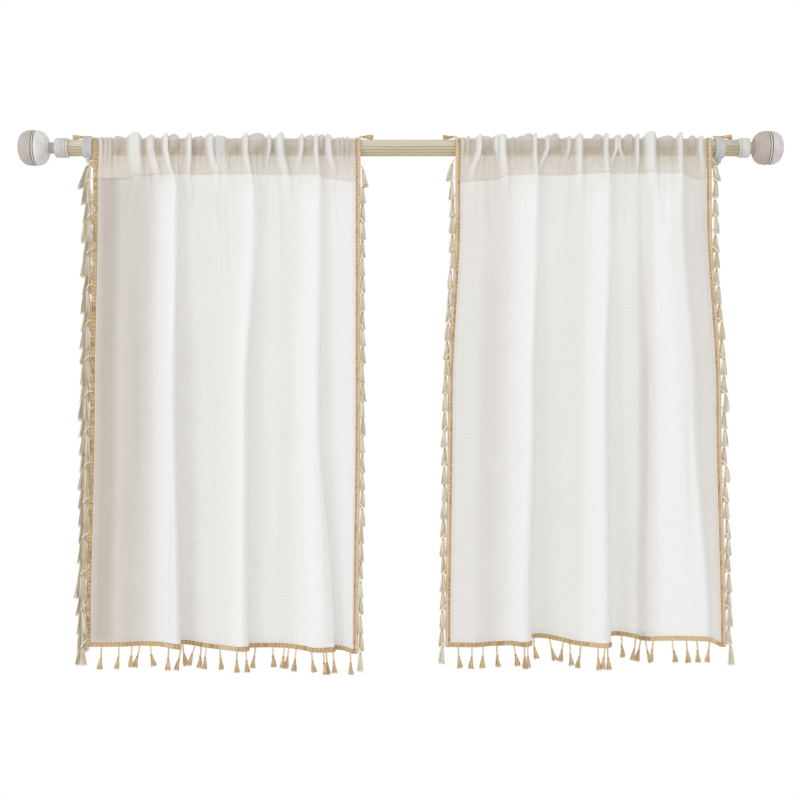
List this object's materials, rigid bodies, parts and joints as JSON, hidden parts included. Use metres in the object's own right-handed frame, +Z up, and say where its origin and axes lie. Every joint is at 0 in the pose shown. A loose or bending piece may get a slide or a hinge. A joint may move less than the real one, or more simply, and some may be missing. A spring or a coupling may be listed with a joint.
{
  "type": "cafe curtain pair on a rod",
  "caption": "Pair of cafe curtain panels gathered by rod pockets on a fluted pole with ball finials and two wall brackets, edged with braid and tassels.",
  "frame": {"origin": "on the wall plane, behind the middle of the rod, at the height of the rod's axis", "axes": "+X to the right along the rod, +Y into the wall, +Z up"},
  "size_m": [1.2991, 0.135, 0.9133],
  "materials": {
    "linen": "semi-sheer slub weave",
    "trim": "woven braid and spun tassels",
    "cream_rod": "painted, satin",
    "whitewash": "whitewashed, matt",
    "pale_metal": "painted, satin"
  },
  "bodies": {
    "root": {"rod": "cream_rod", "finial_left": "whitewash", "finial_right": "whitewash", "bracket_left": "pale_metal", "bracket_right": "pale_metal", "panel_left": "linen", "trim_left_outer": "trim", "trim_left_inner": "trim", "trim_left_hem": "trim", "panel_right": "linen", "trim_right_outer": "trim", "trim_right_inner": "trim", "trim_right_hem": "trim"}
  },
  "joints": []
}
